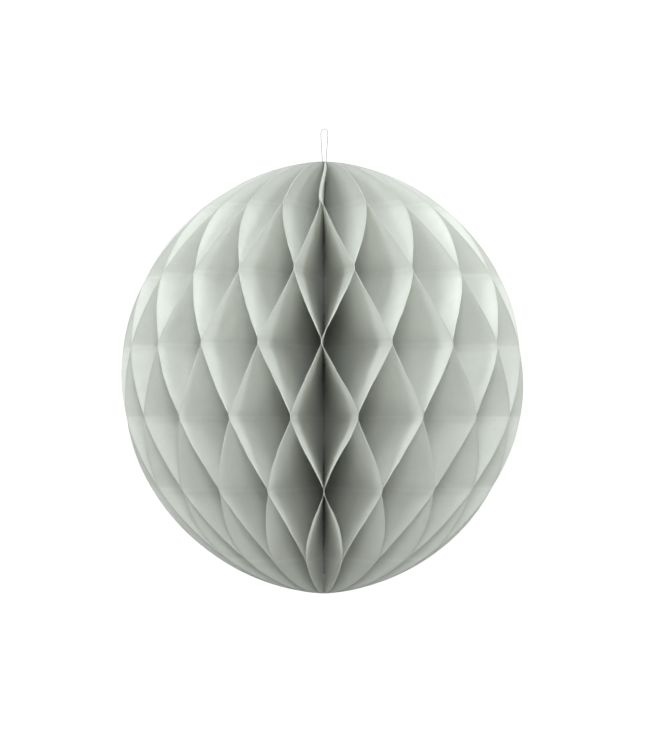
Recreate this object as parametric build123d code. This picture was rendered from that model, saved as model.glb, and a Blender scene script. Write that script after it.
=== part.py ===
from build123d import *
import os
from math import cos, pi, radians, sin, sqrt, tan

# Paper honeycomb ball, in millimetres. The origin is the ball's centre, on the spine axis.
# +Z is up, -Y is the front, where the seam of the fan is, and +X is to the right.
#
# The ball is a fan of thin paper leaves opened through a full circle. Neighbouring leaves are
# glued along short horizontal lines, and the lines on a leaf's two faces alternate in height,
# so each leaf runs in a zigzag between two "columns" of glue, and the gaps are the cells.

# ---- driving dimensions -------------------------------------------------------------------
BALL_HEIGHT = 200.0
BALL_WIDTH = 187.0
LEAVES = 40                # even, so that the last leaf meets the first at the same heights
GLUE_LEVELS = 6
GLUE_PITCH = 32.0          # height from one glue level to the next
GLUE_SHIFT = -3.0          # the middle of the glue pattern, below the ball's centre
GLUE_BAND = 3.0            # height of one glue line
CELL_SKEW = 3.7            # degrees: how far the hand-opened fan is wider on one side
SHEET = 0.25               # thickness of a leaf's solid
SPINE_RADIUS = 2.0         # the leaves' straight edges stand this far from the axis

THREAD = 0.4               # thread diameter
RING_RADIUS = 4.5          # the binding rings run through the leaves at this radius
RING_HEIGHT = 90.0         # height of the upper ring, and depth of the lower one
THREAD_HOLE = 1.6          # diameter of the holes that the rings pass through
KNOT = 2.0                 # diameter of a knot

TAPE = 0.1                 # closure strip thickness
TAPE_WIDTH = 2.6
TAPE_START = 52.0          # the closure strips begin this far from the axis
TAPE_MARGIN = 1.0          # and end this far inside the rim

# The hanging loop's route as (x, z), from the top knot, up through the pole and back again.
LOOP_ROUTE = [
    (-0.32, 90.3), (-0.52, 95.5), (-0.74, 100.8), (-1.02, 106.2), (-1.32, 111.0),
    (-1.42, 113.6), (-0.62, 115.2), (0.95, 115.35), (1.86, 113.9), (1.8, 111.2),
    (1.42, 106.3), (1.06, 100.9), (0.74, 95.6), (0.4, 90.3),
]
CORD_ARC_SHARE = 0.45      # each arc of the loop uses this share of its shorter run

# ---- derived dimensions -------------------------------------------------------------------
HALF_HEIGHT = BALL_HEIGHT / 2
HALF_WIDTH = BALL_WIDTH / 2
SETBACK = (HALF_HEIGHT**2 - HALF_WIDTH**2) / (2 * HALF_WIDTH)
RIM_RADIUS = HALF_WIDTH + SETBACK        # radius of the arc that is a leaf's outer edge
COLUMN_STEP = 360 / LEAVES
LEVELS = [
    GLUE_SHIFT + GLUE_PITCH * ((GLUE_LEVELS - 1) / 2 - k) for k in range(GLUE_LEVELS)
]
OVERSIZE = 5.0             # how far a leaf's blank runs past the rim before it is trimmed


def rim(z):
    """The ball's radius at height z: an arc whose centre is set back behind the axis."""
    return sqrt(RIM_RADIUS**2 - z**2) - SETBACK


def column_azimuth(column):
    """A glue column's angle about the axis in degrees, from the front towards +X."""
    even = COLUMN_STEP * column
    return even + CELL_SKEW * sin(radians(even)) ** 2


def leans_to(leaf, level):
    """The column that a leaf is glued to at a level: even columns at the top level, then odd."""
    return leaf if (leaf + level) % 2 == 0 else leaf - 1


def at_azimuth(degrees_round, radius, offset):
    """The point at a radius on an azimuth, moved sideways by offset towards larger azimuths."""
    a = radians(degrees_round)
    return (radius * sin(a) + offset * cos(a), -radius * cos(a) + offset * sin(a))


def sheet_section(leaf, column, z):
    """A leaf's horizontal section where it lies flat against a column's plane."""
    ahead = 1 if column < leaf else -1
    gap = TAPE / 2 if column in (0, LEAVES) else 0.0
    near, far = ahead * gap, ahead * (gap + SHEET)
    back, front = min(near, far), max(near, far)
    azimuth = column_azimuth(column)
    outer = HALF_WIDTH + OVERSIZE
    corners = [
        at_azimuth(azimuth, SPINE_RADIUS, back),
        at_azimuth(azimuth, outer, back),
        at_azimuth(azimuth, outer, front),
        at_azimuth(azimuth, SPINE_RADIUS, front),
    ]
    return Pos(0, 0, z) * Polygon(*corners, align=None)


def spindle(inset=0.0):
    """The solid that the leaves' rims lie on, or one that is smaller all round by inset."""
    radius = RIM_RADIUS - inset
    tip = sqrt(radius**2 - SETBACK**2)
    arc = ThreePointArc((0, 0, -tip), (radius - SETBACK, 0, 0), (0, 0, tip))
    return revolve(make_face(arc + Line((0, 0, tip), (0, 0, -tip))), Axis.Z)


def thread_hole(leaf, level, z):
    """The cutter for the hole that a binding ring passes through, square to the leaf."""
    azimuth = column_azimuth(leans_to(leaf, level))
    x, y = at_azimuth(azimuth, RING_RADIUS, 0)
    tangent = Vector(cos(radians(azimuth)), sin(radians(azimuth)), 0)
    place = Plane(origin=(x, y, z), z_dir=tangent)
    return place * Cylinder(THREAD_HOLE / 2, 4 * SHEET)


def thread_slot(z):
    """The cutter that opens an end leaf's hole to the spine, to let the thread in."""
    return Pos(0, -RING_RADIUS / 2, z) * Box(4 * SHEET, RING_RADIUS, 2 * THREAD)


def make_leaf(leaf, outline):
    """One zigzag sheet: flat where it is glued to a neighbour, and twisted in between."""
    sections = []
    for level, z in enumerate(LEVELS):
        column = leans_to(leaf, level)
        top = HALF_HEIGHT if level == 0 else z + GLUE_BAND / 2
        bottom = -HALF_HEIGHT if level == GLUE_LEVELS - 1 else z - GLUE_BAND / 2
        sections += [sheet_section(leaf, column, top), sheet_section(leaf, column, bottom)]
    blank = loft(sections, ruled=True) & outline
    for level, z in ((0, RING_HEIGHT), (GLUE_LEVELS - 1, -RING_HEIGHT)):
        blank -= thread_hole(leaf, level, z)
        if leaf in (1, LEAVES):
            blank -= thread_slot(z)
    return blank


def binding_ring(z):
    """A thread ring through every leaf, with its ends brought in at the seam to a knot."""
    length = RING_RADIUS - THREAD
    spoke = Pos(0, -THREAD - length / 2, z) * Rot(90, 0, 0) * Cylinder(THREAD / 2, length)
    return Pos(0, 0, z) * Torus(RING_RADIUS, THREAD / 2) + spoke


def knot(z):
    return Pos(0, 0, z) * Sphere(KNOT / 2)


def spine_thread():
    """The thread along the axis, from the lower knot to the upper one."""
    return Cylinder(THREAD / 2, 2 * RING_HEIGHT)


def hanging_loop():
    """A thin thread loop that stands up out of the pole, from the top knot back to it."""
    points = [Vector(x, 0, z) for x, z in LOOP_ROUTE]
    runs = [b - a for a, b in zip(points, points[1:])]
    radii = []
    for before, after in zip(runs, runs[1:]):
        shorter = min(before.length, after.length)
        half_turn = radians(before.get_angle(after)) / 2
        radii.append(CORD_ARC_SHARE * shorter / tan(half_turn))
    print("loop radii", [round(r, 2) for r in radii])
    path = FilletPolyline(*points, radius=radii)
    section = Plane(origin=path @ 0, z_dir=path % 0) * Circle(THREAD / 2)
    tube = sweep(section, path=path)
    drawn = pi * (THREAD / 2) ** 2 * path.length
    print("loop length", round(path.length, 2), "volume", round(tube.volume / drawn, 4))
    return tube


def closure_strip(level):
    """Double-sided tape in the seam at one glue level."""
    z = LEVELS[level]
    length = rim(abs(z) + TAPE_WIDTH / 2) - TAPE_MARGIN - TAPE_START
    return Pos(0, -TAPE_START - length / 2, z) * Box(TAPE, length, TAPE_WIDTH)


def rim_strip():
    """Double-sided tape that follows the rim from the top glue level towards the pole."""
    low = LEVELS[0] - GLUE_BAND / 2
    tall = RING_HEIGHT + TAPE_WIDTH - low
    band = spindle(TAPE_MARGIN) - spindle(TAPE_MARGIN + TAPE_WIDTH)
    window = Pos(0, -HALF_WIDTH / 2, low + tall / 2) * Box(TAPE, HALF_WIDTH, tall)
    return band & window


def main():
    os.makedirs("parts", exist_ok=True)
    outline = spindle()
    parts = {f"leaf_{i:02d}": make_leaf(i, outline) for i in range(1, LEAVES + 1)}
    parts["closure_strip_top"] = rim_strip()
    parts["closure_strip_middle"] = closure_strip(2)
    parts["closure_strip_lower"] = closure_strip(4)
    parts["top_binding_ring"] = binding_ring(RING_HEIGHT)
    parts["bottom_binding_ring"] = binding_ring(-RING_HEIGHT)
    parts["top_knot"] = knot(RING_HEIGHT)
    parts["bottom_knot"] = knot(-RING_HEIGHT)
    parts["spine_thread"] = spine_thread()
    parts["hanging_loop"] = hanging_loop()
    for name, solid in parts.items():
        export_step(solid, f"parts/{name}.step")


main()
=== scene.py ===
"""A paper honeycomb ball, hanging on a thin thread loop, in a pale studio. Everything is in metres.

Each leaf of the ball is one thin closed sheet of tissue paper that runs in a zigzag between two
glue columns. The columns turn about the spine when the ball is folded, and a leaf's blend weight
is how far round a point lies between its two columns, so a leaf stays joined to both and its
cells close evenly. When the ball is folded flat, the two end leaves still cross other leaves close
to the axis, and the top closure tape crosses some near the rim.
"""

from math import asin, cos, pi, radians, sin, sqrt, tau

import bpy
import numpy as np
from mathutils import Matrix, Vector


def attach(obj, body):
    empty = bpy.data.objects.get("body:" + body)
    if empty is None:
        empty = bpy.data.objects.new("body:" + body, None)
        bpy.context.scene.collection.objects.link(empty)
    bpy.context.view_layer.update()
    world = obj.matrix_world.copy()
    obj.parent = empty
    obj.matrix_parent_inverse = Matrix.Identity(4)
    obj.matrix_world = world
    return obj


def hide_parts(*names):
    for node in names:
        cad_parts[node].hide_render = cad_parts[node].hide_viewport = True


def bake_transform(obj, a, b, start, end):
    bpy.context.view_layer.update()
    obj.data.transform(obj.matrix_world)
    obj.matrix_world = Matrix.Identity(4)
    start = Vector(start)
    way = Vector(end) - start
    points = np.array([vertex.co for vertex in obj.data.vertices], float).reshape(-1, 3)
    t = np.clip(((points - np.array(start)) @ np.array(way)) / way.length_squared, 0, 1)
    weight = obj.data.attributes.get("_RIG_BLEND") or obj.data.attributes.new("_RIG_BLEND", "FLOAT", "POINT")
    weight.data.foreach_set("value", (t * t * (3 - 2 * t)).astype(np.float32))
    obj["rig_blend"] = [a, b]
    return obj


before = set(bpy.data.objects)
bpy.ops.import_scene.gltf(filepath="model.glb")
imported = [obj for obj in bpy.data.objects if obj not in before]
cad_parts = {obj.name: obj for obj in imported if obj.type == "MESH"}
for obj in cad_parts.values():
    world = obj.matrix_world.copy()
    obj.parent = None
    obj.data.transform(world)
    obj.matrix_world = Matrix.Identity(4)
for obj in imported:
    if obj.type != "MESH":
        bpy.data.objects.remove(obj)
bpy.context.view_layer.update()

MM = 0.001
SHARP_ANGLE = 50                       # degrees: edges that turn more than this are shaded sharp

# ---- the ball, as the CAD has it ------------------------------------------------------------
LEAVES = sum(1 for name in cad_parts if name.startswith("leaf_"))
HALF_HEIGHT = 0.100
HALF_WIDTH = 0.0935
SETBACK = (HALF_HEIGHT**2 - HALF_WIDTH**2) / (2 * HALF_WIDTH)
RIM_RADIUS = HALF_WIDTH + SETBACK      # a leaf's outer edge is an arc set back behind the axis
COLUMN_STEP = 360 / LEAVES
CELL_SKEW = 3.7                        # degrees: the hand-opened fan is wider on one side
GLUE_LEVELS = 6
GLUE_PITCH = 32 * MM
GLUE_SHIFT = -3 * MM
LEVELS = [GLUE_SHIFT + GLUE_PITCH * ((GLUE_LEVELS - 1) / 2 - k) for k in range(GLUE_LEVELS)]
ROOT_COLUMN = LEAVES // 2              # the column opposite the seam is the spine body's
RING_RADIUS = 4.5 * MM
RING_HEIGHT = 90 * MM
THREAD = 0.4 * MM
TAPE = 0.1 * MM
TAPE_WIDTH = 2.6 * MM
TAPE_START = 52 * MM
TAPE_MARGIN = 1 * MM

# ---- the tissue -------------------------------------------------------------------------------
PAPER = 0.12 * MM                      # visible thickness of a sheet
GLUE_GAP = 0.01 * MM                   # hairline between two sheets at a glue line
SEAM_GAP = 0.06 * MM                   # and at the seam, where the closure tape is
GLUE_LINE = 2.4 * MM                   # height of the flat band at a glue line
STRIP_ROWS = 13                        # mesh rows between two glue bands
CAP_ROWS = 22                          # and from the outermost glue band to the pole
DEPTH_COLUMNS = 26                     # mesh columns from the spine to the rim
EDGE_SOFTNESS = 0.10                   # 0 is a straight wall between glue lines, 1 an S-curve
SPINE_EDGE = 0.40 * MM                 # the leaves' straight edges stand this far from the axis
KNOT_ROOM = 1.15 * MM                  # and this far where a knot is
LOOP_ROOM = 0.32 * MM                  # beyond the middle of a strand of the hanging loop
LOOP_START = 0.40 * MM                 # a strand is taken to be this far out at the upper ring
LOOP_SPREAD = 0.066                    # and this much farther for each unit of height above it
LOOP_SIDE = 0.75                       # the sine of the azimuth beyond which leaves make that room
KNOT_REACH = 2.8 * MM                  # leaves begin to make room this far above and below a knot
KNOT_FADE = 1.6 * MM                   # and have made all of it this much nearer to the knot
SPINE_FILL = 0.45                      # share of the room at the spine that the paper takes
GAP_SHARE = 0.1                        # and the most that the gap at either side takes of it
CORE_RADIUS = 5 * MM                   # inside this the leaves are evenly spaced, not zigzag
TIP_WIDTH = 0.5 * MM                   # width that is left of a leaf at its very tips
SWELL = 0.030                          # how far walls bow, as a share of a cell's width
FLUTTER = 0.006                        # and how far their rims ripple
BEND_LIMIT = 0.24                      # the most that both may come to together
FLUTTER_DEPTH = 0.2                    # the share of a leaf's reach, next to its rim, that ripples
SLACK = 0.013                          # how much less far the wider cells reach out
EDGE_SHADE_FADE = 0.35 * MM                  # depth of the painted shade along the cut edge, darkened to tone down the light the edge catches
SHEET_SPACING = 0.37                   # between two leaves' places in the tissue's textures

# ---- the seam, closed by hand -----------------------------------------------------------------
SEAM_LEAN = [                          # (height in mm, degrees round from straight)
    (-100, 1.2), (-83, 0.6), (-51, 0.0), (13, -0.65), (72, -1.0), (81, -1.1), (88, 0.2),
    (94, 2.6), (100, 4.2),
]
LEAN_BLUR = 3 * MM
CURL_DEPTH = 2.3 * MM                  # how far in from the rim the end leaves curl
CAP_CURL = -1.0 * MM                   # sideways at the rim, above the top glue line
CAP_RISE_START = 4 * MM                # it begins this far below that line
CAP_RISE = 5 * MM                      # and is full this far above its beginning
CAP_END = 1 * MM                       # it is gone this far below the pole
CAP_FADE = 4 * MM                      # and begins to go this much lower
CELL_CURLS = {1: 0.35 * MM, LEAVES: -0.35 * MM}
LOW_CURL = 2.6                         # the curl grows by this factor below the fifth glue line
LOW_CURL_BLEND = 10 * MM               # over this height


def rim(z, azimuth):
    """The ball's radius at a height: a set-back arc, a little slack where the cells are wide."""
    return (sqrt(RIM_RADIUS**2 - z**2) - SETBACK) * (1 - SLACK * (1 + sin(azimuth)) / 2)


def column_azimuth(column):
    """A glue column's angle about the axis in degrees, from the front towards +X."""
    even = COLUMN_STEP * column
    return even + CELL_SKEW * sin(radians(even)) ** 2


def column_body(column):
    return "spine" if column == ROOT_COLUMN else f"column_{column:02d}"


def smooth(t):
    t = min(max(t, 0.0), 1.0)
    return t * t * (3 - 2 * t)


# ---- camera -----------------------------------------------------------------------------------
CAMERA_DISTANCE = 1.02
CAMERA_ELEVATION = -1.36               # degrees: the lens is a little below the ball's centre
CAMERA_LENS = 104.9
CAMERA_AIM = Vector((-0.0004, 0, -0.0004))


def make_camera():
    data = bpy.data.cameras.new("camera")
    data.lens = CAMERA_LENS
    data.sensor_width = 36
    data.clip_start = 0.05
    data.clip_end = 50
    camera = bpy.data.objects.new("camera", data)
    bpy.context.scene.collection.objects.link(camera)
    tilt = radians(CAMERA_ELEVATION)
    place = Vector((0, -cos(tilt), sin(tilt))) * CAMERA_DISTANCE
    camera.location = place + CAMERA_AIM
    camera.rotation_euler = (-place).to_track_quat("-Z", "Y").to_euler()
    bpy.context.scene.camera = camera


# ---- node helpers -----------------------------------------------------------------------------
class Nodes:
    """Short names for building one material's node tree."""

    def __init__(self, name):
        self.material = bpy.data.materials.new(name)
        self.material.use_nodes = True
        self.tree = self.material.node_tree
        self.tree.nodes.clear()

    def add(self, kind, **settings):
        node = self.tree.nodes.new(kind)
        for key, value in settings.items():
            setattr(node, key, value)
        return node

    def link(self, source, target):
        self.tree.links.new(source, target)

    def value(self, source, socket):
        """Feed a socket from another socket or set it to a constant."""
        if isinstance(source, bpy.types.NodeSocket):
            self.link(source, socket)
        else:
            socket.default_value = source

    def math(self, operation, a, b):
        node = self.add("ShaderNodeMath", operation=operation)
        for source, socket in zip((a, b), node.inputs):
            self.value(source, socket)
        return node.outputs[0]

    def noise(self, vector, scale, detail, roughness):
        node = self.add("ShaderNodeTexNoise")
        node.inputs["Scale"].default_value = scale
        node.inputs["Detail"].default_value = detail
        node.inputs["Roughness"].default_value = roughness
        self.link(vector, node.inputs["Vector"])
        return node.outputs["Fac"]

    def stretch(self, vector, scale):
        node = self.add("ShaderNodeMapping")
        node.inputs["Scale"].default_value = scale
        self.link(vector, node.inputs["Vector"])
        return node.outputs["Vector"]

    def between(self, value, low, high, to_low=0.0, to_high=1.0):
        node = self.add("ShaderNodeMapRange")
        node.inputs["From Min"].default_value = low
        node.inputs["From Max"].default_value = high
        node.inputs["To Min"].default_value = to_low
        node.inputs["To Max"].default_value = to_high
        self.link(value, node.inputs["Value"])
        return node.outputs["Result"]

    def blend_colour(self, factor, a, b):
        node = self.add("ShaderNodeMix", data_type="RGBA")
        self.value(factor, node.inputs["Factor"])
        self.value(a, node.inputs["A"])
        self.value(b, node.inputs["B"])
        return node.outputs["Result"]

    def bump(self, height, strength, distance, normal=None):
        node = self.add("ShaderNodeBump")
        node.inputs["Strength"].default_value = strength
        node.inputs["Distance"].default_value = distance
        self.link(height, node.inputs["Height"])
        if normal is not None:
            self.link(normal, node.inputs["Normal"])
        return node.outputs["Normal"]

    def output(self, shader):
        node = self.add("ShaderNodeOutputMaterial")
        self.link(shader, node.inputs["Surface"])
        return self.material


# ---- materials --------------------------------------------------------------------------------
TISSUE = (0.870, 0.870, 0.832, 1)
TISSUE_CLOUD = (0.840, 0.840, 0.803, 1)
# darker fibres in the stock, and painted shade on the cut edges that tones down the light they catch
TISSUE_FIBRE_AND_EDGE_SHADE = (0.760, 0.760, 0.730, 1)
TISSUE_GLUE = (0.920, 0.920, 0.883, 1)
TRANSLUCENCE = 0.40                    # how much of the light a sheet scatters goes through it
GLUE_MARK = 0.5 * MM                   # half the height of the pale mark along a glue line
GLUE_MARK_FADE = 0.4 * MM              # and how far it fades out beyond that
GLUE_MARK_STRENGTH = 0.55
THREAD_TONES = ((0.40, 0.40, 0.41, 1), (0.32, 0.32, 0.33, 1))
TAPE_TONES = ((0.70, 0.72, 0.66, 1), (0.62, 0.65, 0.58, 1))


def glue_mask(n, height):
    """1 along every glue line, from a point's height on the sheet in metres."""
    half = GLUE_PITCH / 2
    shifted = n.math("SUBTRACT", height, LEVELS[0] - half)
    nearest = n.math("PINGPONG", shifted, half)
    return n.between(nearest, half - GLUE_MARK - GLUE_MARK_FADE, half - GLUE_MARK)


def tissue_material():
    """Thin matte tissue: cloudy stock, fine fibres, painted shade along the cut edges to tone down the light
    they catch, and faint pale glue lines.
    """
    n = Nodes("tissue")
    sheet = n.add("ShaderNodeAttribute", attribute_name="sheet").outputs["Vector"]
    edge = n.add("ShaderNodeAttribute", attribute_name="edge").outputs["Fac"]
    apart = n.add("ShaderNodeSeparateXYZ")
    n.link(sheet, apart.inputs["Vector"])
    cloud = n.noise(n.stretch(sheet, (1, 0.8, 1)), 160, 4, 0.6)
    fibre = n.noise(n.stretch(sheet, (1, 0.35, 1)), 1500, 3, 0.65)
    crinkle = n.noise(n.stretch(sheet, (1, 0.45, 1)), 110, 3, 0.5)
    glue = glue_mask(n, apart.outputs["Y"])
    colour = n.blend_colour(n.between(cloud, 0.35, 0.68), TISSUE, TISSUE_CLOUD)
    colour = n.blend_colour(n.between(fibre, 0.45, 0.75, 0, 0.35), colour, TISSUE_FIBRE_AND_EDGE_SHADE)
    colour = n.blend_colour(n.math("MULTIPLY", glue, GLUE_MARK_STRENGTH), colour, TISSUE_GLUE)
    # painted shade: the cut edges are darkened so the light they catch reads less bright
    colour = n.blend_colour(edge, colour, TISSUE_FIBRE_AND_EDGE_SHADE)
    normal = n.bump(crinkle, 0.22, 0.6 * MM)
    normal = n.bump(fibre, 0.16, 0.05 * MM, normal)
    surface = n.add("ShaderNodeBsdfPrincipled")
    n.link(colour, surface.inputs["Base Color"])
    n.link(n.between(fibre, 0.3, 0.7, 0.82, 0.95), surface.inputs["Roughness"])
    surface.inputs["Specular IOR Level"].default_value = 0.18
    surface.inputs["Sheen Weight"].default_value = 0.06
    surface.inputs["Sheen Roughness"].default_value = 0.6
    n.link(normal, surface.inputs["Normal"])
    through = n.add("ShaderNodeBsdfTranslucent")
    n.link(colour, through.inputs["Color"])
    n.link(normal, through.inputs["Normal"])
    both = n.add("ShaderNodeMixShader")
    both.inputs[0].default_value = TRANSLUCENCE
    n.link(surface.outputs[0], both.inputs[1])
    n.link(through.outputs[0], both.inputs[2])
    return n.output(both.outputs[0])


def plain_fibre_material(name, tones, grain, bump_depth, roughness):
    """Fine-grained matte stock for thread and tape: two close tones in a fibrous noise."""
    light, dark = tones
    n = Nodes(name)
    place = n.add("ShaderNodeTexCoord").outputs["Object"]
    fibre = n.noise(place, grain, 4, 0.6)
    surface = n.add("ShaderNodeBsdfPrincipled")
    colour = n.blend_colour(n.between(fibre, 0.35, 0.65), light, dark)
    n.link(colour, surface.inputs["Base Color"])
    n.link(n.between(fibre, 0.3, 0.7, roughness - 0.08, roughness), surface.inputs["Roughness"])
    n.link(n.bump(fibre, 0.4, bump_depth), surface.inputs["Normal"])
    surface.inputs["Specular IOR Level"].default_value = 0.3
    return n.output(surface.outputs[0])


# ---- leaves -----------------------------------------------------------------------------------
def leans_to(leaf, level):
    """The column that a leaf is glued to at a level: even columns at the top level, then odd."""
    return leaf if (leaf + level) % 2 == 0 else leaf - 1


def seam_lean(z):
    heights, leans = zip(*SEAM_LEAN)
    near = [z + k * LEAN_BLUR for k in (-1, -0.5, 0, 0.5, 1)]
    return radians(float(np.mean(np.interp(near, np.array(heights) * MM, leans))))


def column_at(column, z):
    """A glue column's azimuth at a height, in radians: only the seam's columns lean."""
    lean = seam_lean(z) if column in (0, LEAVES) else 0.0
    return radians(column_azimuth(column)) + lean


def inner_radius(azimuth, z):
    """Where a leaf's straight edge is: by the spine thread, but clear of knots and the loop."""
    from_knot = abs(abs(z) - RING_HEIGHT)
    room = SPINE_EDGE + (KNOT_ROOM - SPINE_EDGE) * smooth((KNOT_REACH - from_knot) / KNOT_FADE)
    if z > RING_HEIGHT and abs(sin(azimuth)) > LOOP_SIDE:
        room = max(room, LOOP_START + LOOP_SPREAD * (z - RING_HEIGHT) + LOOP_ROOM)
    return room


def leaf_heights(azimuth):
    """The heights of a leaf's mesh rows from its lower tip to its upper one."""
    tips = []
    for pole in (-HALF_HEIGHT, HALF_HEIGHT):
        reach = inner_radius(azimuth, pole) + TIP_WIDTH
        tips.append(sqrt(RIM_RADIUS**2 - (reach + SETBACK) ** 2))
    top, bottom = LEVELS[0] + GLUE_LINE / 2, LEVELS[-1] - GLUE_LINE / 2
    towards_tip = [1 - cos(pi / 2 * k / CAP_ROWS) for k in range(CAP_ROWS)]
    rows = [-tips[0] + (bottom + tips[0]) * t for t in towards_tip]
    for level in reversed(range(GLUE_LEVELS)):
        z = LEVELS[level]
        rows += [z - GLUE_LINE / 2, z, z + GLUE_LINE / 2]
        if level:
            gap = GLUE_PITCH - GLUE_LINE
            rows += [z + GLUE_LINE / 2 + gap * k / STRIP_ROWS for k in range(1, STRIP_ROWS)]
    return rows + [tips[1] - (tips[1] - top) * t for t in reversed(towards_tip)]


def side_at(leaf, z):
    """0 where a leaf lies against its lower-numbered column, 1 against the other, by height."""
    level = (LEVELS[0] - z) / GLUE_PITCH
    above = min(max(int(level), 0), GLUE_LEVELS - 2)
    half_band = GLUE_LINE / 2 / GLUE_PITCH
    t = (level - above - half_band) / (1 - 2 * half_band)
    t = min(max(t, 0.0), 1.0)
    crossed = (1 - EDGE_SOFTNESS) * t + EDGE_SOFTNESS * smooth(t)
    start = leans_to(leaf, above) - (leaf - 1)
    return start + (1 - 2 * start) * crossed


class Ripples:
    """The seeded unevenness of one leaf: slow swells of its walls and small rim ripples."""

    def __init__(self, leaf):
        draw = np.random.default_rng(700 + leaf)
        self.swells = [
            (draw.uniform(-1, 1), draw.uniform(45, 130), draw.uniform(15, 60), draw.uniform(0, tau))
            for _ in range(4)
        ]
        self.flutters = [
            (draw.uniform(-1, 1), draw.uniform(350, 900), draw.uniform(0, tau))
            for _ in range(4)
        ]

    def at(self, radius, z, reach):
        """How far the wall is off its straight place, as a share of the cell's width."""
        swell = sum(a * sin(k * z + q * radius + p) for a, k, q, p in self.swells)
        flutter = sum(a * sin(k * z + p) for a, k, p in self.flutters)
        near_rim = smooth((radius - (1 - FLUTTER_DEPTH) * reach) / (FLUTTER_DEPTH * reach))
        bend = SWELL * radius / HALF_WIDTH * swell + FLUTTER * near_rim * flutter
        return min(max(bend, -BEND_LIMIT), BEND_LIMIT)


def curl_share(radius, reach):
    """0 up to where the end leaves begin to curl, rising to 1 at the rim."""
    return min(max((radius - reach + CURL_DEPTH) / CURL_DEPTH, 0.0), 1.0)


def cap_curl(z):
    """How far the taped pair of end leaves is turned sideways at its rim, above the top glue."""
    rises = smooth((z - LEVELS[0] + CAP_RISE_START) / CAP_RISE)
    return CAP_CURL * rises * smooth((HALF_HEIGHT - CAP_END - z) / CAP_FADE)


def sheet_point(leaf, radius, z, reach, ripples):
    """The azimuth of a leaf's middle surface in radians, and the sheet's thickness there."""
    start, end = column_at(leaf - 1, z), column_at(leaf, z)
    arc = radius * (end - start)
    thickness = min(PAPER, SPINE_FILL * arc)
    gaps = [SEAM_GAP if c in (0, LEAVES) else GLUE_GAP for c in (leaf - 1, leaf)]
    room = [(thickness / 2 + min(gap, GAP_SHARE * arc)) / radius for gap in gaps]
    share = 0.5 + (side_at(leaf, z) - 0.5) * smooth(radius / CORE_RADIUS)
    bow = 4 * share * (1 - share)
    share += bow * ripples.at(radius, z, reach)
    azimuth = start + room[0] + share * (end - start - room[0] - room[1])
    if leaf in CELL_CURLS:
        low = 1 + (LOW_CURL - 1) * smooth((LEVELS[4] - z) / LOW_CURL_BLEND)
        curl = CELL_CURLS[leaf] * low * bow + cap_curl(z)
        azimuth += curl * curl_share(radius, reach) / radius
    return azimuth, thickness


def leaf_grid(leaf):
    """Rows of (radius, azimuth, height, thickness) over a leaf's middle surface."""
    ripples = Ripples(leaf)
    middle = radians(column_azimuth(leaf - 0.5))
    grid = []
    for z in leaf_heights(middle):
        reach = rim(z, middle)
        edge = min(inner_radius(middle, z), reach - TIP_WIDTH / 2)
        row = []
        for k in range(DEPTH_COLUMNS + 1):
            radius = edge + (reach - edge) * (1 - cos(pi * k / DEPTH_COLUMNS)) / 2
            azimuth, thickness = sheet_point(leaf, radius, z, reach, ripples)
            row.append((radius, azimuth, z, thickness))
        grid.append(row)
    return grid


def closed_sheet(grid):
    """Vertices and faces of a thin closed sheet about a grid of cylindrical points."""
    rows, columns = len(grid), len(grid[0])
    vertices, faces = [], []
    for side in (-1, 1):
        for row in grid:
            for radius, azimuth, z, thickness in row:
                a = azimuth + side * thickness / 2 / radius
                vertices.append((radius * sin(a), -radius * cos(a), z))

    def at(side, row, column):
        return side * rows * columns + row * columns + column

    for i in range(rows - 1):
        for j in range(columns - 1):
            near = [at(0, i, j), at(0, i, j + 1), at(0, i + 1, j + 1), at(0, i + 1, j)]
            faces.append(near)
            faces.append([v + rows * columns for v in reversed(near)])
    border = [(0, j) for j in range(columns)] + [(i, columns - 1) for i in range(1, rows)]
    border += [(rows - 1, j) for j in reversed(range(columns - 1))]
    border += [(i, 0) for i in reversed(range(1, rows - 1))]
    for here, there in zip(border, border[1:] + border[:1]):
        faces.append([at(0, *there), at(0, *here), at(1, *here), at(1, *there)])
    return vertices, faces


def mesh_piece(name, vertices, faces, material):
    mesh = bpy.data.meshes.new(name)
    mesh.from_pydata(vertices, [], faces)
    mesh.validate()
    mesh.materials.append(material)
    mesh.shade_smooth()
    mesh.set_sharp_from_angle(angle=radians(SHARP_ANGLE))
    piece = bpy.data.objects.new(name, mesh)
    bpy.context.scene.collection.objects.link(piece)
    return piece


def set_sheet_attributes(piece, leaf):
    """Store each point's place on its own sheet, and how near it is to the cut edge, which sets the painted
    shade there.
    """
    mesh = piece.data
    points = np.array([v.co for v in mesh.vertices])
    radius = np.hypot(points[:, 0], points[:, 1])
    slack = 1 - SLACK * (1 + points[:, 0] / radius) / 2
    inside = RIM_RADIUS - np.hypot(radius / slack + SETBACK, points[:, 2])
    layer = np.full(len(points), SHEET_SPACING * leaf)
    sheet = np.stack([radius, points[:, 2], layer], axis=1)
    place = mesh.attributes.new("sheet", "FLOAT_VECTOR", "POINT")
    place.data.foreach_set("vector", sheet.astype(np.float32).ravel())
    # the mask of painted shade along the cut edge
    edge = mesh.attributes.new("edge", "FLOAT", "POINT")
    nearness = np.exp(-np.maximum(inside, 0) / EDGE_SHADE_FADE)
    edge.data.foreach_set("value", nearness.astype(np.float32))


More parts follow.
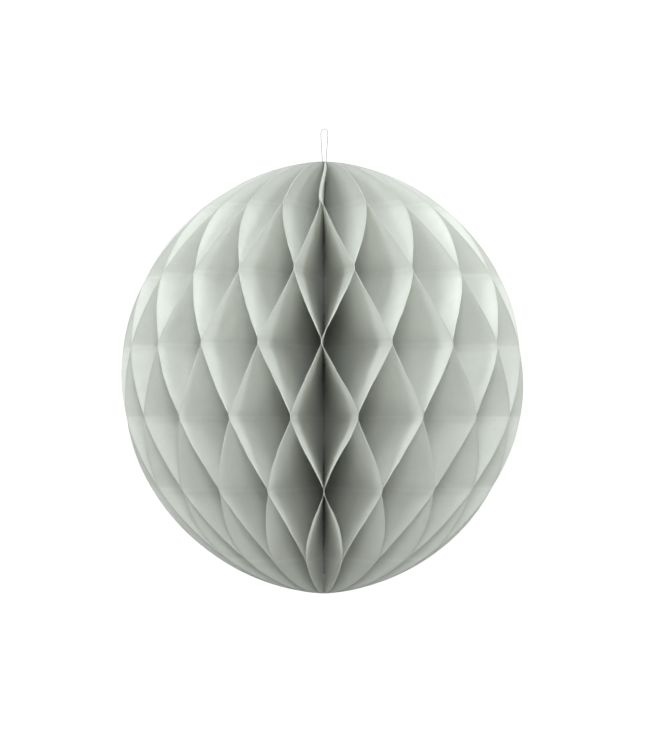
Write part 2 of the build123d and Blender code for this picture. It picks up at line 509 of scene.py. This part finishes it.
def fold_with_columns(piece, leaf):
    """Blend a leaf between its two columns by how far round each point lies between them."""
    start, end = (radians(column_azimuth(c)) for c in (leaf - 1, leaf))
    a, b = ((HALF_WIDTH * sin(t), -HALF_WIDTH * cos(t), 0) for t in (start, end))
    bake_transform(piece, column_body(leaf - 1), column_body(leaf), start=a, end=b)
    points = np.array([v.co for v in piece.data.vertices])
    middle = (start + end) / 2
    round_it = np.arctan2(points[:, 0], -points[:, 1]) - middle
    round_it = (round_it + pi) % tau - pi + middle
    weight = np.clip((round_it - start) / (end - start), 0, 1)
    values = piece.data.attributes["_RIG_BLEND"].data
    values.foreach_set("value", weight.astype(np.float32))


def make_leaf(leaf, tissue):
    piece = mesh_piece(f"tissue_leaf_{leaf:02d}", *closed_sheet(leaf_grid(leaf)), tissue)
    set_sheet_attributes(piece, leaf)
    fold_with_columns(piece, leaf)
    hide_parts(f"leaf_{leaf:02d}")


# ---- closure tape -----------------------------------------------------------------------------
TAPE_RIM_ROWS = 15
TAPE_ROWS = 5
TAPE_COLUMNS = 9
TAPE_COVER = 0.45                      # share of a glue line's height on each side of its middle


def tape_grid(heights, inner_edge, outer_edge):
    """A strip of tape in the seam: rows by height, from an inner to an outer radius."""
    grid = []
    for z in heights:
        reach = rim(z, 0)
        radii = np.linspace(inner_edge(reach), outer_edge(reach), TAPE_COLUMNS)
        turned = [cap_curl(z) * curl_share(r, reach) / r for r in radii]
        grid.append([(r, column_at(0, z) + t, z, TAPE) for r, t in zip(radii, turned)])
    return grid


def make_tape(name, grid, tape):
    piece = mesh_piece(f"{name}_tape", *closed_sheet(grid), tape)
    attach(piece, column_body(0))
    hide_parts(name)


def make_closure(tape):
    """Tape along the rim above the top glue line, and across two glue levels further down."""
    low, high = LEVELS[0] - GLUE_LINE / 2, RING_HEIGHT + TAPE_WIDTH
    up_the_rim = tape_grid(
        np.linspace(low, high, TAPE_RIM_ROWS),
        lambda reach: reach - TAPE_MARGIN - TAPE_WIDTH,
        lambda reach: reach - TAPE_MARGIN,
    )
    make_tape("closure_strip_top", up_the_rim, tape)
    for name, level in (("closure_strip_middle", 2), ("closure_strip_lower", 4)):
        across = tape_grid(
            LEVELS[level] + np.linspace(-TAPE_COVER, TAPE_COVER, TAPE_ROWS) * GLUE_LINE,
            lambda reach: TAPE_START,
            lambda reach: reach - TAPE_MARGIN,
        )
        make_tape(name, across, tape)


# ---- threads ----------------------------------------------------------------------------------
# The hanging loop's route as (x, z): from the top knot, up through the pole and back again.
LOOP_ROUTE = [
    (-0.32, 90.3), (-0.52, 95.5), (-0.74, 100.8), (-1.02, 106.2), (-1.32, 111.0),
    (-1.42, 113.6), (-0.62, 115.2), (0.95, 115.35), (1.86, 113.9), (1.8, 111.2),
    (1.42, 106.3), (1.06, 100.9), (0.74, 95.6), (0.4, 90.3),
]
STRANDS = 2
STRAND_SHARE = 0.62                    # a strand's radius, as a share of the thread's
TWIST_LENGTH = 1.3 * MM                # along the thread for one turn of its strands
THREAD_STEP = 0.13 * MM
THREAD_SIDES = 8
RING_POINTS = 72
KNOT_POINTS = 60
KNOT_SIZE = 0.27 * MM                  # the trefoil's unit: its line is 5.5 of these across
KNOT_DEPTH = 0.9                       # how many of them it swings to the front and to the back
KNOT_THREAD = 0.42                     # its tube's radius, as a share of the thread's diameter
ANY_DIRECTION = (0.31, 0.95, 0.12)     # not along any line here, to start its frames across it


def nurbs_line(points):
    """Points along a smooth NURBS curve with the given control points."""
    curve = bpy.data.curves.new("route", "CURVE")
    curve.dimensions = "3D"
    curve.resolution_u = 12
    spline = curve.splines.new("NURBS")
    spline.points.add(len(points) - 1)
    for point, place in zip(spline.points, points):
        point.co = (*place, 1)
    spline.order_u = 3
    spline.use_endpoint_u = True
    holder = bpy.data.objects.new("route", curve)
    line = bpy.data.meshes.new_from_object(holder)
    places = [v.co.copy() for v in line.vertices]
    bpy.data.objects.remove(holder)
    bpy.data.curves.remove(curve)
    bpy.data.meshes.remove(line)
    return places


def evenly(line, step, closed=False):
    """The same line with points a step apart."""
    line = line + line[:1] if closed else line
    points = np.array(line, float)
    along = np.concatenate([[0], np.cumsum(np.linalg.norm(np.diff(points, axis=0), axis=1))])
    count = max(int(round(along[-1] / step)), 8)
    wanted = np.linspace(0, along[-1], count + 1)
    even = np.stack([np.interp(wanted, along, points[:, k]) for k in range(3)], axis=1)
    return even[:-1] if closed else even


def carried_frames(points, closed=False):
    """A pair of directions across the line at each point, carried along without twisting."""
    ahead = np.roll(points, -1, axis=0) - np.roll(points, 1, axis=0)
    if not closed:
        ahead[0], ahead[-1] = points[1] - points[0], points[-1] - points[-2]
    ahead /= np.linalg.norm(ahead, axis=1)[:, None]
    across = np.cross(ahead[0], ANY_DIRECTION)
    frames = []
    for direction in ahead:
        across = across - direction * (across @ direction)
        across /= np.linalg.norm(across)
        frames.append((across, np.cross(direction, across)))
    return frames


def add_tube(mesh_data, points, radius, closed=False):
    """Add a round tube along points to a (vertices, faces) pair."""
    vertices, faces = mesh_data
    first, count = len(vertices), len(points)
    for point, (u, v) in zip(points, carried_frames(points, closed)):
        for k in range(THREAD_SIDES):
            turn = tau * k / THREAD_SIDES
            vertices.append(tuple(point + radius * (cos(turn) * u + sin(turn) * v)))
    for i in range(count if closed else count - 1):
        here, there = first + i * THREAD_SIDES, first + (i + 1) % count * THREAD_SIDES
        for k in range(THREAD_SIDES):
            m = (k + 1) % THREAD_SIDES
            faces.append([here + k, here + m, there + m, there + k])
    if not closed:
        faces.append([first + k for k in reversed(range(THREAD_SIDES))])
        faces.append([first + (count - 1) * THREAD_SIDES + k for k in range(THREAD_SIDES)])


def twisted_thread(mesh_data, line, closed=False):
    """Add a two-ply thread along a line to a (vertices, faces) pair."""
    points = evenly(line, THREAD_STEP, closed)
    frames = carried_frames(points, closed)
    length = THREAD_STEP * len(points)
    turns = max(1, round(length / TWIST_LENGTH))
    radius = THREAD / 2 * STRAND_SHARE
    for strand in range(STRANDS):
        winding = []
        for i, (point, (u, v)) in enumerate(zip(points, frames)):
            turn = tau * (turns * i / len(points) + strand / STRANDS)
            winding.append(point + (THREAD / 2 - radius) * (cos(turn) * u + sin(turn) * v))
        add_tube(mesh_data, np.array(winding), radius, closed)


def thread_piece(name, mesh_data, thread, node):
    """A piece of thread on the spine's body, in place of one node of the CAD."""
    piece = mesh_piece(name, *mesh_data, thread)
    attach(piece, "spine")
    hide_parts(node)
    return piece


def make_hanging_loop(thread):
    line = nurbs_line([(x * MM, 0, z * MM) for x, z in LOOP_ROUTE])
    mesh_data = ([], [])
    twisted_thread(mesh_data, line)
    piece = thread_piece("hanging_thread", mesh_data, thread, "hanging_loop")


def make_binding_ring(name, z, thread):
    """A thread ring through the leaves, and its two ends brought in to the knot."""
    mesh_data = ([], [])
    turns = [tau * k / RING_POINTS for k in range(RING_POINTS)]
    ring = [Vector((RING_RADIUS * sin(t), -RING_RADIUS * cos(t), z)) for t in turns]
    twisted_thread(mesh_data, ring, closed=True)
    twisted_thread(mesh_data, [Vector((0, -THREAD, z)), Vector((0, THREAD / 2 - RING_RADIUS, z))])
    thread_piece(f"{name}_thread", mesh_data, thread, name)


def make_knot(name, z, thread):
    """A small overhand knot: a trefoil of thread drawn tight."""
    line = []
    for k in range(KNOT_POINTS):
        t = tau * k / KNOT_POINTS
        x, up, depth = sin(t) + 2 * sin(2 * t), cos(t) - 2 * cos(2 * t), -sin(3 * t)
        line.append(Vector((KNOT_SIZE * x, KNOT_SIZE * depth * KNOT_DEPTH, z + KNOT_SIZE * up)))
    mesh_data = ([], [])
    add_tube(mesh_data, evenly(line, THREAD_STEP, closed=True), THREAD * KNOT_THREAD, closed=True)
    thread_piece(f"{name}_thread", mesh_data, thread, name)


def make_spine_thread(thread):
    mesh_data = ([], [])
    ends = [Vector((0, 0, -RING_HEIGHT)), Vector((0, 0, RING_HEIGHT))]
    twisted_thread(mesh_data, ends)
    thread_piece("spine_binding_thread", mesh_data, thread, "spine_thread")


# ---- studio -----------------------------------------------------------------------------------
FLOOR_DEPTH = 0.45                     # how far the floor is below the ball's centre
FLOOR_FRONT = -4.0                     # where the floor begins, in front of the ball
FLOOR_TONES = ((0.38, 0.38, 0.37, 1), (0.41, 0.41, 0.40, 1))
SWEEP_START = 1.6
SWEEP_RADIUS = 1.2
SWEEP_STEPS = 16
BACKDROP_HEIGHT = 4.0
STAGE_HALF_WIDTH = 5.0
GLOW_START = 1.1                       # from here outwards the stage grows lighter
GLOW_FULL = 1.9
GLOW = 0.82
WHITE = (1, 1, 1, 1)


def stage_material():
    """A pale studio floor that grows lighter away from the ball."""
    n = Nodes("studio_floor")
    place = n.add("ShaderNodeTexCoord").outputs["Object"]
    away = n.add("ShaderNodeVectorMath", operation="LENGTH")
    n.link(place, away.inputs[0])
    mottle = n.noise(place, 3.0, 2, 0.5)
    surface = n.add("ShaderNodeBsdfPrincipled")
    n.link(n.blend_colour(mottle, *FLOOR_TONES), surface.inputs["Base Color"])
    surface.inputs["Roughness"].default_value = 0.9
    surface.inputs["Emission Color"].default_value = WHITE
    glow = n.between(away.outputs["Value"], GLOW_START, GLOW_FULL, 0.0, GLOW)
    n.link(glow, surface.inputs["Emission Strength"])
    return n.output(surface.outputs[0])


def make_stage():
    """A floor that sweeps up into a backdrop behind the ball."""
    profile = [(FLOOR_FRONT, 0.0), (SWEEP_START, 0.0)]
    for k in range(1, SWEEP_STEPS + 1):
        a = pi / 2 * k / SWEEP_STEPS
        profile.append((SWEEP_START + SWEEP_RADIUS * sin(a), SWEEP_RADIUS * (1 - cos(a))))
    profile.append((SWEEP_START + SWEEP_RADIUS, BACKDROP_HEIGHT))
    sides = (-STAGE_HALF_WIDTH, STAGE_HALF_WIDTH)
    vertices = [(x, y, z - FLOOR_DEPTH) for y, z in profile for x in sides]
    faces = [[2 * k, 2 * k + 1, 2 * k + 3, 2 * k + 2] for k in range(len(profile) - 1)]
    mesh_piece("studio_sweep", vertices, faces, stage_material())


ROOM_COLOUR = (0.95, 1.0, 1.02, 1)
ROOM_LIGHT = 0.04                      # what the white room adds to the ball
ROOM_SEEN = 0.90                       # and how bright its own walls look
LAMP_COLOUR = (0.93, 1.0, 1.0)
LAMPS = [                              # name, degrees round from the front, height, size, watts
    ("left_softbox", -45, 0.8, 0.6, 11),
    ("right_softbox", 45, 0.8, 0.6, 13),
    ("high_left", -42, 2.1, 0.6, 20),
    ("high_right", 38, 2.0, 0.6, 12),
    ("by_the_lens", 0, 0.35, 0.6, 18),
    ("high_front", 4, 2.2, 0.8, 20),
]
LAMP_DISTANCE = 2.0                    # measured level, from the ball's centre
OVERHEAD_PLACE = (0, 0.1, 1.8)
OVERHEAD_SIZE = 0.5
OVERHEAD_POWER = 12


def area_light(name, place, size, power):
    """A round lamp that points at the ball's centre."""
    data = bpy.data.lights.new(name, "AREA")
    data.shape = "DISK"
    data.size = size
    data.energy = power
    data.color = LAMP_COLOUR
    lamp = bpy.data.objects.new(name, data)
    bpy.context.scene.collection.objects.link(lamp)
    lamp.location = place
    lamp.rotation_euler = (-Vector(place)).to_track_quat("-Z", "Y").to_euler()


def make_lights():
    """Lamps in front, one overhead, and a room that lights the ball far less than it shows."""
    world = bpy.data.worlds.new("studio")
    bpy.context.scene.world = world
    world.use_nodes = True
    tree = world.node_tree
    background = tree.nodes["Background"]
    background.inputs["Color"].default_value = ROOM_COLOUR
    seen = tree.nodes.new("ShaderNodeLightPath")
    strength = tree.nodes.new("ShaderNodeMapRange")
    strength.inputs["To Min"].default_value = ROOM_LIGHT
    strength.inputs["To Max"].default_value = ROOM_SEEN
    tree.links.new(seen.outputs["Is Camera Ray"], strength.inputs["Value"])
    tree.links.new(strength.outputs["Result"], background.inputs["Strength"])
    for name, turn, height, size, power in LAMPS:
        x, y = sin(radians(turn)), -cos(radians(turn))
        place = (LAMP_DISTANCE * x, LAMP_DISTANCE * y, height)
        area_light(name, place, size, power)
    area_light("overhead", OVERHEAD_PLACE, OVERHEAD_SIZE, OVERHEAD_POWER)
    bpy.context.scene.view_settings.view_transform = "Standard"


def main():
    make_camera()
    thread = plain_fibre_material(
        "sewing_thread", THREAD_TONES, grain=6000, bump_depth=0.03 * MM, roughness=0.75
    )
    tape = plain_fibre_material(
        "closure_tape", TAPE_TONES, grain=1200, bump_depth=0.02 * MM, roughness=0.6
    )
    tissue = tissue_material()
    make_hanging_loop(thread)
    for leaf in range(1, LEAVES + 1):
        make_leaf(leaf, tissue)
    make_binding_ring("top_binding_ring", RING_HEIGHT, thread)
    make_binding_ring("bottom_binding_ring", -RING_HEIGHT, thread)
    make_knot("top_knot", RING_HEIGHT, thread)
    make_knot("bottom_knot", -RING_HEIGHT, thread)
    make_spine_thread(thread)
    make_closure(tape)
    make_stage()
    make_lights()


main()
